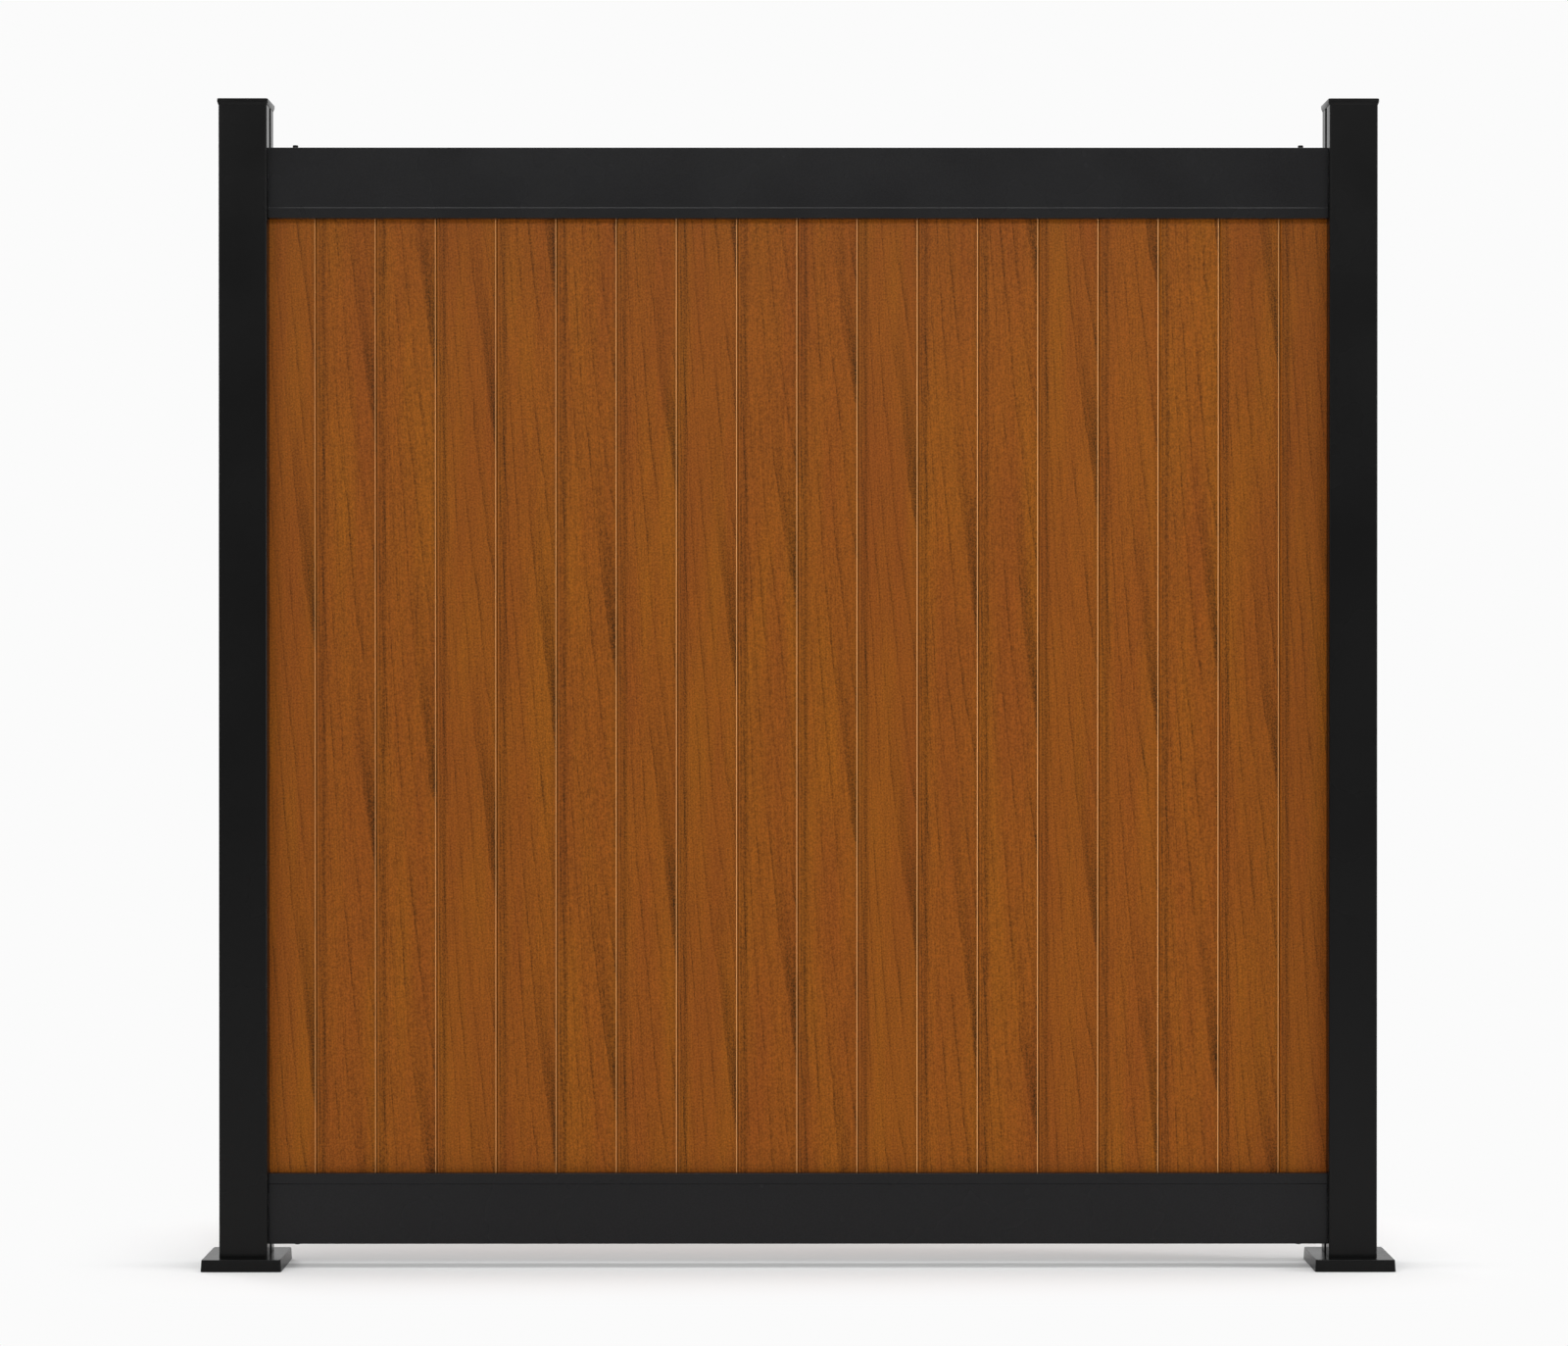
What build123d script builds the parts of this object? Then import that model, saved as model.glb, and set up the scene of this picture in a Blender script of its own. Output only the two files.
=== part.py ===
from build123d import *
import os

# Aluminium privacy fence panel: two slotted posts on bolted feet, two pocket rails and a row of
# hollow tongue-and-groove boards. X runs along the fence, Y through it with the front at -Y, Z up.
# The origin is on the ground, midway between the posts. All sizes are in millimetres.

# Boards
board_count = 18
board_pitch = 94.0
board_thickness = 16.0
board_length = 1543.0
board_wall = 1.2
board_edge_chamfer = 2.0
board_joint_gap = 1.0
board_play = 0.5
board_engagement = 21.0
board_expansion_gap = 4.0
tongue_length = 8.0
tongue_thickness = 6.0
tongue_play = 0.3
tongue_end_play = 1.5

# Posts
post_size = 75.0
post_wall = 2.5
post_corner_radius = 3.0
post_rise = 64.0
slot_end_play = 4.0
slot_wall = 2.0

# Post caps
cap_edge_height = 10.0
cap_crown_height = 2.0
cap_foot_overhang = 0.25
cap_brim_overhang = 2.0
cap_ledge = 3.0
cap_crown_slope = 11.0
cap_top_thickness = 3.0
cap_corner_radius = 3.5
cap_tab_width = 26.0
cap_tab_thickness = 3.0
cap_tab_length = 16.0
cap_tab_play = 0.25

# Rails
rail_thickness = 45.0
rail_height = 110.0
rail_wall = 2.0
rail_corner_radius = 1.5
rail_end_gap = 0.3
lip_height = 17.0
lip_proud = 1.5
lip_edge_radius = 1.0
pocket_depth = 30.0
pocket_wall = 1.8
ground_gap = 37.0

# Rail brackets
bracket_thickness = 3.0
bracket_length = 58.0
bracket_play = 0.3

# Screws: hexagon heads, with a washer flange under those that go through the rail walls
screw_shank_radius = 2.4
screw_shank_length = 14.0
screw_play = 0.1
screw_head_radius = 4.6
screw_head_height = 4.0
screw_flange_radius = 5.2
screw_flange_thickness = 1.0
rail_screw_inset = 41.0
rail_screw_offset = 8.0

# Base plates
plate_margin = 21.0
plate_thickness = 8.0
plate_corner_radius = 5.0
anchor_inset = 12.0
anchor_radius = 5.0

# Base covers
cover_height = 18.5
cover_wall = 2.0
cover_gap = 2.0
cover_draft = 1.0
cover_corner_radius = 3.0
cover_edge_chamfer = 0.9
cover_play = 0.3

# Sizes that follow from the ones above
groove_depth = tongue_length - board_joint_gap + tongue_end_play
groove_width = tongue_thickness + 2 * tongue_play
board_body = board_pitch - board_joint_gap
channel_width = board_thickness + 2 * board_play
slot_depth = board_engagement + tongue_length + slot_end_play
bay_width = board_count * board_pitch - 2 * board_engagement
post_x = (bay_width + post_size) / 2
rail_length = bay_width - 2 * rail_end_gap
board_z = ground_gap + rail_height - pocket_depth
top_rail_z = board_z + board_length + board_expansion_gap - pocket_depth
post_top_z = top_rail_z + rail_height + post_rise
plate_size = post_size + 2 * plate_margin
anchor_offset = plate_size / 2 - anchor_inset
cover_size = plate_size + 2 * (cover_gap + cover_wall)
rail_cavity = rail_thickness - 2 * rail_wall
chamber_height = rail_height - pocket_depth - pocket_wall - rail_wall
bracket_height = chamber_height - 2 * bracket_play
bracket_screw_y = (channel_width / 2 + slot_wall + rail_cavity / 2) / 2
screw_hole_radius = screw_shank_radius + screw_play


def board_section():
    """Hollow board seen from above: groove at its left, tongue at its right, three chambers."""
    left = board_joint_gap / 2
    right = left + board_body
    middle = (left + right) / 2
    body = Pos(middle, 0) * Rectangle(board_body, board_thickness)
    body = chamfer(body.vertices(), board_edge_chamfer)
    tongue = Pos(right, 0) * Rectangle(2 * tongue_length, tongue_thickness)
    groove = Pos(left, 0) * Rectangle(2 * groove_depth, groove_width)
    liner_size = (2 * (groove_depth + board_wall), groove_width + 2 * board_wall)
    liner = Pos(left, 0) * Rectangle(*liner_size)
    chamber = Pos(middle, 0) * Rectangle(board_body - 2 * board_wall, board_thickness - 2 * board_wall)
    tongue_chamber_length = 2 * (tongue_length - board_wall)
    tongue_chamber = Pos(right, 0) * Rectangle(tongue_chamber_length, tongue_thickness - 2 * board_wall)
    web_left = Pos(left + board_body / 3, 0) * Rectangle(board_wall, board_thickness)
    web_right = Pos(left + 2 * board_body / 3, 0) * Rectangle(board_wall, board_thickness)
    hollow = chamber - liner + tongue_chamber - web_left - web_right
    return body + tongue - groove - hollow


def post_section():
    """Square tube seen from above, with a lined slot for the boards that opens towards +X."""
    half = post_size / 2
    inner = post_size - 2 * post_wall
    tube = RectangleRounded(post_size, post_size, post_corner_radius) - Rectangle(inner, inner)
    liner_length = slot_depth + slot_wall - post_wall / 2
    liner_width = channel_width + 2 * slot_wall
    tube += Pos(half - post_wall / 2 - liner_length / 2, 0) * Rectangle(liner_length, liner_width)
    return tube - Pos(half, 0) * Rectangle(2 * slot_depth, channel_width)


def rail_section():
    """Rail seen along X with its pocket upwards: a bevelled lip, one chamber round the pocket."""
    body = Pos(0, rail_height / 2) * RectangleRounded(rail_thickness, rail_height, rail_corner_radius)
    lip_width = rail_thickness + 2 * lip_proud
    lip = Pos(0, rail_height - lip_height / 2) * Rectangle(lip_width, lip_height)
    lip = chamfer(lip.vertices().group_by(Axis.Y)[0], lip_proud)
    lip = fillet(lip.vertices().group_by(Axis.Y)[-1], lip_edge_radius)
    cavity = Pos(0, rail_height / 2) * Rectangle(rail_cavity, rail_height - 2 * rail_wall)
    lip_cavity_height = lip_height - 2 * rail_wall
    lip_cavity = Pos(0, rail_height - lip_height / 2)
    lip_cavity = lip_cavity * Rectangle(rail_cavity + 2 * lip_proud, lip_cavity_height)
    liner_height = pocket_depth + pocket_wall - rail_wall / 2
    liner = Pos(0, rail_height - rail_wall / 2 - liner_height / 2)
    liner = liner * Rectangle(channel_width + 2 * pocket_wall, liner_height)
    pocket = Pos(0, rail_height) * Rectangle(channel_width, 2 * pocket_depth)
    return body + lip - (cavity + lip_cavity - liner) - pocket


def bracket_section():
    """Channel seen along Y: web against the post at X = 0, two legs that run into the rail."""
    outer = Pos(bracket_length / 2, 0) * Rectangle(bracket_length, bracket_height)
    inner_height = bracket_height - 2 * bracket_thickness
    return outer - Pos(bracket_thickness + bracket_length / 2, 0) * Rectangle(bracket_length, inner_height)


def hex_screw():
    """Hexagon-head screw with its head above Z = 0 and its shank below."""
    head = extrude(RegularPolygon(screw_head_radius, 6), screw_head_height)
    return head + extrude(Circle(screw_shank_radius), -screw_shank_length)


def flanged_screw():
    """Hexagon-head screw that stands on a washer flange, with the flange on Z = 0."""
    flange = extrude(Circle(screw_flange_radius), screw_flange_thickness)
    return flange + Pos(0, 0, screw_flange_thickness) * hex_screw()


def left_post():
    """Left post, from the top of its base plate to its cap, drilled for the bracket screws."""
    post = Pos(0, 0, plate_thickness) * extrude(post_section(), post_top_z - plate_thickness)
    for height in bracket_heights():
        for side in (-1, 1):
            drill = Pos(post_size / 2, side * bracket_screw_y, height) * Rot(0, 90, 0)
            post -= drill * Cylinder(screw_hole_radius, 4 * post_wall)
    return post


def post_cap():
    """Low cap with flared edges and a shallow crown; three tabs plug into the tube below Z = 0."""
    foot_size = post_size + 2 * cap_foot_overhang
    brim_size = post_size + 2 * cap_brim_overhang
    crown_size = brim_size - 2 * cap_ledge
    foot = RectangleRounded(foot_size, foot_size, cap_corner_radius)
    brim = Pos(0, 0, cap_edge_height) * RectangleRounded(brim_size, brim_size, cap_corner_radius)
    low = cap_crown_slope
    high = crown_size - cap_crown_slope
    crown = Wedge(crown_size, cap_crown_height, crown_size, low, low, high, high)
    crown = Pos(0, 0, cap_edge_height + cap_crown_height / 2) * Rot(90, 0, 0) * crown
    body = loft([foot, brim], ruled=True) + crown
    tab_face = post_size / 2 - post_wall - cap_tab_play
    recess_size = 2 * (tab_face - cap_tab_thickness)
    body -= extrude(Rectangle(recess_size, recess_size), cap_edge_height - cap_top_thickness)
    seat_overlap = cap_edge_height - cap_top_thickness
    tab_height = cap_tab_length + seat_overlap
    tab = Pos(0, tab_face - cap_tab_thickness / 2, seat_overlap - tab_height / 2)
    tab = tab * Box(cap_tab_width, cap_tab_thickness, tab_height)
    lead_edge = tab.edges().group_by(Axis.Z)[0].sort_by(Axis.Y)[-1]
    tab = chamfer(lead_edge, cap_tab_thickness / 2)
    for turn in (0, 90, 180):
        body += Rot(0, 0, turn) * tab
    return body


def base_plate():
    """Square foot plate, welded under the post, with an anchor hole in each corner."""
    plate = extrude(RectangleRounded(plate_size, plate_size, plate_corner_radius), plate_thickness)
    for corner in GridLocations(2 * anchor_offset, 2 * anchor_offset, 2, 2):
        plate -= corner * Cylinder(anchor_radius, 4 * plate_thickness)
    return plate


def base_cover():
    """Shallow open-bottomed cover with drafted sides and a square opening for the post."""
    shoulder_size = cover_size - 2 * cover_draft
    top_size = shoulder_size - 2 * cover_edge_chamfer
    foot = RectangleRounded(cover_size, cover_size, cover_corner_radius)
    shoulder = RectangleRounded(shoulder_size, shoulder_size, cover_corner_radius)
    top = RectangleRounded(top_size, top_size, cover_corner_radius)
    shoulder = Pos(0, 0, cover_height - cover_edge_chamfer) * shoulder
    shell = loft([foot, shoulder, Pos(0, 0, cover_height) * top], ruled=True)
    inner_foot_size = cover_size - 2 * cover_wall
    inner_top_size = shoulder_size - 2 * cover_wall
    inner_foot = Rectangle(inner_foot_size, inner_foot_size)
    inner_top = Pos(0, 0, cover_height - cover_wall) * Rectangle(inner_top_size, inner_top_size)
    shell -= loft([inner_foot, inner_top], ruled=True)
    opening = post_size + 2 * cover_play
    opening = RectangleRounded(opening, opening, post_corner_radius + cover_play)
    return shell - extrude(opening, 2 * cover_height)


def rail():
    """Rail with its pocket upwards and its underside at Z = 0, drilled behind its middle at each end."""
    beam = extrude(Plane.YZ * rail_section(), rail_length / 2, both=True)
    for side in (-1, 1):
        drill = Pos(side * (bay_width / 2 - rail_screw_inset), rail_screw_offset, 0)
        beam -= drill * Cylinder(screw_hole_radius, 4 * rail_wall)
    return beam


def bracket(screw_y):
    """Bracket of a rail that lies pocket upwards: web at X = 0, centred on Z, drilled at screw_y."""
    channel = extrude(Plane.XZ * bracket_section(), (rail_cavity - 2 * bracket_play) / 2, both=True)
    for side in (-1, 1):
        web_drill = Pos(0, side * bracket_screw_y, 0) * Rot(0, 90, 0)
        channel -= web_drill * Cylinder(screw_hole_radius, 4 * bracket_thickness)
    leg_drill = Pos(rail_screw_inset, screw_y, -bracket_height / 2)
    channel -= leg_drill * Cylinder(screw_hole_radius, 4 * bracket_thickness)
    return channel


def bracket_heights():
    """Heights of the middle of the bottom and the top brackets."""
    chamber_middle = rail_wall + chamber_height / 2
    return (ground_gap + chamber_middle, top_rail_z + rail_height - chamber_middle)


parts = {}
half_turn = Rot(0, 0, 180)
turn_over = Rot(180, 0, 0)

post = left_post()
parts["left_post"] = Pos(-post_x, 0, 0) * post
parts["right_post"] = Pos(post_x, 0, 0) * half_turn * post

cap = post_cap()
parts["left_post_cap"] = Pos(-post_x, 0, post_top_z) * cap
parts["right_post_cap"] = Pos(post_x, 0, post_top_z) * half_turn * cap

plate = base_plate()
cover = base_cover()
for side_name, side_x in (("left", -post_x), ("right", post_x)):
    parts[side_name + "_base_plate"] = Pos(side_x, 0, 0) * plate
    parts[side_name + "_base_cover"] = Pos(side_x, 0, 0) * cover

beam = rail()
parts["bottom_rail"] = Pos(0, 0, ground_gap) * beam
parts["top_rail"] = Pos(0, 0, top_rail_z + rail_height) * turn_over * beam

left_bracket = bracket(rail_screw_offset)
right_bracket = half_turn * bracket(-rail_screw_offset)
low_z, high_z = bracket_heights()
parts["bottom_left_bracket"] = Pos(-bay_width / 2, 0, low_z) * left_bracket
parts["bottom_right_bracket"] = Pos(bay_width / 2, 0, low_z) * right_bracket
parts["top_left_bracket"] = Pos(-bay_width / 2, 0, high_z) * turn_over * left_bracket
parts["top_right_bracket"] = Pos(bay_width / 2, 0, high_z) * turn_over * right_bracket

board = extrude(board_section(), board_length)
for number in range(board_count):
    board_x = (number - board_count / 2) * board_pitch
    parts[f"board_{number + 1:02d}"] = Pos(board_x, 0, board_z) * board

plain_screw = hex_screw()
rail_screw = flanged_screw()
screw_x = bay_width / 2 - rail_screw_inset
rail_screws = []
bracket_screws = []
for side in (-1, 1):
    rail_screws.append(Pos(side * screw_x, -rail_screw_offset, top_rail_z + rail_height) * rail_screw)
    rail_screws.append(Pos(side * screw_x, rail_screw_offset, ground_gap) * turn_over * rail_screw)
    for height in bracket_heights():
        for offset in (-bracket_screw_y, bracket_screw_y):
            seat = Pos(side * (bay_width / 2 - bracket_thickness), offset, height)
            bracket_screws.append(seat * Rot(0, -90 * side, 0) * plain_screw)
parts["rail_screws"] = Compound(children=rail_screws)
parts["bracket_screws"] = Compound(children=bracket_screws)

os.makedirs("parts", exist_ok=True)
for name, shape in parts.items():
    export_step(shape, f"parts/{name}.step")
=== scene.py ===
import math

import bpy
import numpy as np
from bpy.props import FloatProperty, FloatVectorProperty, IntProperty, PointerProperty
from bpy.types import Node, NodeSocket, Operator, Panel, PropertyGroup
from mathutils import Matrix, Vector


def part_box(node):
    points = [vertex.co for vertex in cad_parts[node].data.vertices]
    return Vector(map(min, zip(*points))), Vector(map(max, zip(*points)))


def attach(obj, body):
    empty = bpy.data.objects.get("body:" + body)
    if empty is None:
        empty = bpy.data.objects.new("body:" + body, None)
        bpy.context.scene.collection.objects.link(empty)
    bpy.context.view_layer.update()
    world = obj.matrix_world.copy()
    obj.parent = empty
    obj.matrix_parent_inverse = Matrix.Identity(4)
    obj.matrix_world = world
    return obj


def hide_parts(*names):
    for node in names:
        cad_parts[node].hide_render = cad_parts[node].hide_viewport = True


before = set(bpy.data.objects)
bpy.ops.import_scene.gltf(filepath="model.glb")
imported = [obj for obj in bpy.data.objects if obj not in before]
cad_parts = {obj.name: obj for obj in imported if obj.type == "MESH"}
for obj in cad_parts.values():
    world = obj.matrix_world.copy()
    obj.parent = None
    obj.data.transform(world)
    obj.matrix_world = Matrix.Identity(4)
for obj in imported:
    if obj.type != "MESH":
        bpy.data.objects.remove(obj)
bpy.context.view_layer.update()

bl_info = {
    "name": "Slotted-post fence panel",
    "version": (1, 0, 0),
    "blender": (4, 5, 0),
    "location": "View3D > Sidebar > Fence",
    "description": "Dresses an aluminium fence panel: coated posts, rails and wood-grain boards",
    "category": "Add Mesh",
}

BOARD_NODES = sorted(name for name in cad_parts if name.startswith("board_"))
SIDES = ("left", "right")

# Most values of a noise texture lie between these two
NOISE_LOW, NOISE_HIGH = 0.3, 0.7

# Edges that turn by more than this show as sharp
SHARP_ANGLE = math.radians(32)

# Angles from one side of a rounded edge to the other
QUARTER_TURN = np.linspace(0, np.pi / 2, 6)


def linear(code):
    """The linear RGBA of an sRGB hex colour."""
    channels = [int(code[i:i + 2], 16) / 255 for i in (1, 3, 5)]
    return tuple(c / 12.92 if c <= 0.04045 else ((c + 0.055) / 1.055) ** 2.4 for c in channels) + (1.0,)


def length(name, default, description):
    """A length property in metres."""
    return FloatProperty(name=name, description=description, default=default, unit="LENGTH", precision=5)


def colour(name, code, description):
    """A colour property that starts from an sRGB hex value."""
    return FloatVectorProperty(name=name, description=description, default=linear(code), size=4,
                               subtype="COLOR", min=0.0, max=1.0)


class FENCE_PG_sizes(PropertyGroup):
    """Edge and joint sizes of the extrusions and mouldings."""

    board_tongue: length("Board tongue", 0.008, "How far a board's tongue stands out of its body")
    tongue_thickness: length("Tongue thickness", 0.006, "Thickness of a board's tongue")
    groove_width: length("Groove width", 0.0066, "Width of the groove that takes the tongue")
    groove_depth: length("Groove depth", 0.0085, "Depth of the groove that takes the tongue")
    board_bevel: length("Board bevel", 0.002, "Bevel along the upright edges of a board's faces")
    board_soft_edge: length("Board soft edge", 0.0005, "Rounding left by the coat on a board's edges")
    post_corner: length("Post corner", 0.003, "Rounding of a post's upright corners")
    channel_width: length("Channel width", 0.017, "Width of the post slots and rail pockets")
    slot_depth: length("Slot depth", 0.033, "Depth of the slot in a post")
    pocket_depth: length("Pocket depth", 0.030, "Depth of the pocket in a rail")
    channel_edge: length("Channel edge", 0.0006, "Rounding at the mouth of slots and pockets")
    rail_corner: length("Rail corner", 0.0015, "Rounding of a rail's long corners")
    lip_height: length("Lip height", 0.017, "Height of the proud lip along a rail's pocket")
    lip_proud: length("Lip stand", 0.0015, "How far the lip stands proud of the rail, and its bevel")
    lip_edge: length("Lip edge", 0.0010, "Rounding of the lip beside the boards")
    lip_soft_edge: length("Lip soft edge", 0.0003, "Rounding at both ends of the lip's bevel")
    cap_foot: length("Cap foot", 0.00175, "How far a cap's foot stands back from its brim")
    cap_rim: length("Cap rim", 0.004, "Width of the outer ring of a cap's flat underside")
    cap_soft_edge: length("Cap soft edge", 0.0003, "Rounding of a cap's foot")
    cap_flare: length("Cap flare", 0.005, "Height of the flare between a cap's foot and its brim")
    cap_edge: length("Cap edge", 0.0011, "Rounding of a cap's brim")
    cap_ledge: length("Cap ledge", 0.003, "Flat border between a cap's brim and its crown")
    cap_crown: length("Cap crown", 0.002, "Height of a cap's crown above its border")
    cap_slope: length("Cap slope", 0.011, "Width of the sloping side of a cap's crown")
    cap_corner: length("Cap corner", 0.0035, "Rounding of a cap's corners seen from above")
    cover_wall: length("Cover wall", 0.002, "Wall of a base cover")
    cover_draft: length("Cover draft", 0.001, "How far a base cover's side leans in over its height")
    cover_corner: length("Cover corner", 0.003, "Rounding of a base cover's corners seen from above")
    cover_edge: length("Cover edge", 0.0012, "Rounding of a base cover's upper edge")
    cover_lip: length("Cover lip", 0.0004, "Rounding round a base cover's opening")
    cover_soft_edge: length("Cover soft edge", 0.0003, "Rounding of a base cover's foot and inside")
    cover_play: length("Cover play", 0.0003, "Gap between a base cover's opening and the post")
    screw_flange: length("Screw flange", 0.001, "Thickness of the washer flange under a rail screw's head")
    screw_flange_radius: length("Screw flange radius", 0.0052, "Radius of that flange")
    screw_head: length("Screw head", 0.0046, "Distance from a screw's axis to its head's corners")
    screw_shank: length("Screw shank", 0.0024, "Radius of a rail screw's shank")
    screw_reach: length("Screw reach", 0.013, "How far a rail screw's shank goes below its flange")
    arc_steps: IntProperty(name="Arc steps", description="Points along each rounded edge", default=7, min=3)


class FENCE_PG_finish(PropertyGroup):
    """Colours of the coats and metals, and the layout of the printed film."""

    post_black: colour("Post black", "#0F0F0F", "Black powder coat of posts, caps and covers")
    rail_black: colour("Rail black", "#1B1B1C", "Black powder coat of the rails")
    grain_base: colour("Grain base", "#874A11", "Main brown of the printed wood grain")
    grain_light: colour("Grain light", "#8B4F10", "Yellower zones of the printed wood grain")
    grain_red: colour("Grain red", "#844612", "Redder zones of the printed wood grain")
    grain_line: colour("Grain line", "#3E2103", "Growth lines and dark marks of the print")
    # Sand base coat, whose pale colour also paints the highlight that the light puts on the bevels
    base_coat_and_highlight: colour("Base coat", "#FFBB76", "Sand base coat that shows where the film ends at a bevel")
    mill_metal: colour("Mill aluminium", "#C3C5C6", "Plain extruded aluminium")
    bright_steel: colour("Stainless steel", "#B4B6B8", "Screws inside the rails")
    black_steel: colour("Blackened steel", "#262627", "Screws on the rails")
    # Painted light: the pale bevel colour is cut most on the first board and not at all on the last, so the
    # bevels look more strongly lit towards the right, where the light comes from
    left_highlight_cut: FloatProperty(name="Most wrap", description="Share of a bevel's base coat that the film hides"
                             " on the first board, falling to none on the last", default=0.55, min=0.0,
                             max=1.0)
    # Painted highlight: part of what is cut shows on the groove-side bevels of the boards to the left, as if
    # lit from the left
    groove_highlight_share: FloatProperty(name="Groove share", description="Share of the hidden base coat that shows"
                                " at the groove side instead", default=0.35, min=0.0, max=1.0)
    print_repeat: length("Print repeat", 0.681, "Length after which the printed film repeats")
    lines_in_repeat: IntProperty(name="Lines in a repeat", description="Growth lines in one print repeat."
                                 " One of them ends in a dark mark", default=3, min=1)
    print_seed: IntProperty(name="Print seed", description="Seed of the draw that shifts the film's print"
                            " along each board, as boards come from the stack in no order", default=1, min=0)


class FENCE_PG_stage(PropertyGroup):
    """Floor, light and camera."""

    floor_size: length("Floor size", 80.0, "Side of the square floor")
    floor_colour: colour("Floor", "#F2F2F2", "Pale studio floor")
    backdrop: colour("Backdrop", "#FBFBFB", "White surroundings")
    ambient: FloatProperty(name="Ambient", description="Strength of the even studio light", default=0.36)
    dim_side: FloatProperty(name="Dim side", description="How bright reflections see the studio's front",
                            default=0.3)
    key_power: FloatProperty(name="Key light", description="Right softbox", default=18.0, unit="POWER")
    fill_power: FloatProperty(name="Fill light", description="Left softbox", default=25.0, unit="POWER")
    front_power: FloatProperty(name="Front light", description="High softbox in front", default=168.0,
                               unit="POWER")
    top_power: FloatProperty(name="Top light", description="Overhead softbox", default=110.0, unit="POWER")
    side_power: FloatProperty(name="Side light", description="Strip light at the right", default=82.0,
                              unit="POWER")
    back_power: FloatProperty(name="Back light", description="Softbox behind the panel", default=70.0,
                              unit="POWER")
    camera_place: FloatVectorProperty(name="Camera", description="Where the camera stands", subtype="XYZ",
                                      unit="LENGTH", default=(-0.028, -5.475, 0.951))
    camera_pitch: FloatProperty(name="Pitch", description="How far the camera looks down", unit="ROTATION",
                                default=math.radians(0.258))
    camera_yaw: FloatProperty(name="Yaw", description="How far the camera looks right", unit="ROTATION",
                              default=math.radians(0.063))
    camera_lens: FloatProperty(name="Lens", description="Focal length in millimetres", unit="CAMERA",
                               default=80.39)


def rounded_outline(corners, radii, steps):
    """Closed outline whose corners are circular arcs, with its outward normals.

    At a corner with half angle h, an arc of radius r is centred r / sin(h) along the bisector and
    meets the sides r / tan(h) from the corner. The points turn from one meeting point to the other
    by spherical interpolation about that centre.
    """
    point = np.asarray(corners, float)
    radius = np.asarray(radii, float)[:, None]
    back = np.roll(point, 1, axis=0) - point
    ahead = np.roll(point, -1, axis=0) - point
    back /= np.linalg.norm(back, axis=1, keepdims=True)
    ahead /= np.linalg.norm(ahead, axis=1, keepdims=True)
    half = np.arccos(np.clip((back * ahead).sum(1, keepdims=True), -1, 1)) / 2
    bisector = (back + ahead) / np.linalg.norm(back + ahead, axis=1, keepdims=True)
    centre = point + bisector * radius / np.sin(half)
    first = point + back * radius / np.tan(half) - centre
    last = point + ahead * radius / np.tan(half) - centre
    turn = (np.pi - 2 * half)[:, :, None]
    t = np.linspace(0, 1, steps)[None, :, None]
    spoke = (np.sin((1 - t) * turn) * first[:, None] + np.sin(t * turn) * last[:, None]) / np.sin(turn)
    convex = np.sign(ahead[:, 0] * back[:, 1] - ahead[:, 1] * back[:, 0])[:, None, None]
    normal = spoke / radius[:, :, None] * convex
    return (centre[:, None] + spoke).reshape(-1, 2), normal.reshape(-1, 2)


def finish_mesh(name, points, faces, normals=None):
    """A smooth mesh object from points and faces, with one normal for each face corner if given."""
    mesh = bpy.data.meshes.new(name)
    mesh.from_pydata(points.tolist(), [], faces)
    mesh.shade_smooth()
    if normals is None:
        mesh.set_sharp_from_angle(angle=SHARP_ANGLE)
    else:
        mesh.normals_split_custom_set(normals.tolist())
    made = bpy.data.objects.new(name, mesh)
    bpy.context.scene.collection.objects.link(made)
    return made


def carried_profile(name, outline, normals, start, end, side, up):
    """Prism: the outline, measured along side and up, carried straight from start to end.

    Point (i, j) is start + j (end - start) + outline x side + outline y up, with j 0 or 1. The two
    ends are closed by flat faces, and the long faces take the outline's own normals.
    """
    axes = np.array((side, up), float)
    ring = outline @ axes
    path = np.array((start, end), float)
    points = (path[:, None] + ring[None]).reshape(-1, 3)
    count = len(outline)
    here = np.arange(count)
    after = np.roll(here, -1)
    quads = np.stack((here, after, after + count, here + count), axis=1)
    faces = quads.tolist() + [here[::-1].tolist(), (here + count).tolist()]
    along = (path[1] - path[0]) / np.linalg.norm(path[1] - path[0])
    turned = normals @ axes
    corner_normals = np.concatenate((
        turned[quads.ravel() % count],
        np.repeat(-along[None], count, axis=0),
        np.repeat(along[None], count, axis=0),
    ))
    return finish_mesh(name, points, faces, corner_normals)


def square_rings(name, centre, half_sizes, radii, heights, steps, closed):
    """Stack of rounded squares: ring v has corner arcs of radius r(v), centred h(v) - r(v) out along
    both axes, at height z(v), and parameter u goes round it.

    A closed stack joins its last ring to its first. An open one ends in two flat faces.
    """
    quarter = np.linspace(0, np.pi / 2, steps)
    angle = np.concatenate([quarter + k * np.pi / 2 for k in range(4)])
    sign_x = np.repeat((1.0, -1.0, -1.0, 1.0), steps)
    sign_y = np.repeat((1.0, 1.0, -1.0, -1.0), steps)
    half = np.asarray(half_sizes, float)[:, None]
    radius = np.asarray(radii, float)[:, None]
    x = centre[0] + sign_x * (half - radius) + radius * np.cos(angle)
    y = centre[1] + sign_y * (half - radius) + radius * np.sin(angle)
    z = np.broadcast_to(centre[2] + np.asarray(heights, float)[:, None], x.shape)
    points = np.stack((x, y, z), axis=2).reshape(-1, 3)
    grid = np.arange(x.size).reshape(x.shape)
    upper = np.roll(grid, -1, axis=0) if closed else grid[1:]
    lower = grid if closed else grid[:-1]
    quads = np.stack((lower, np.roll(lower, -1, 1), np.roll(upper, -1, 1), upper), axis=2).reshape(-1, 4)
    ends = [] if closed else [grid[0, ::-1].tolist(), grid[-1].tolist()]
    return finish_mesh(name, points, quads.tolist() + ends)


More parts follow.
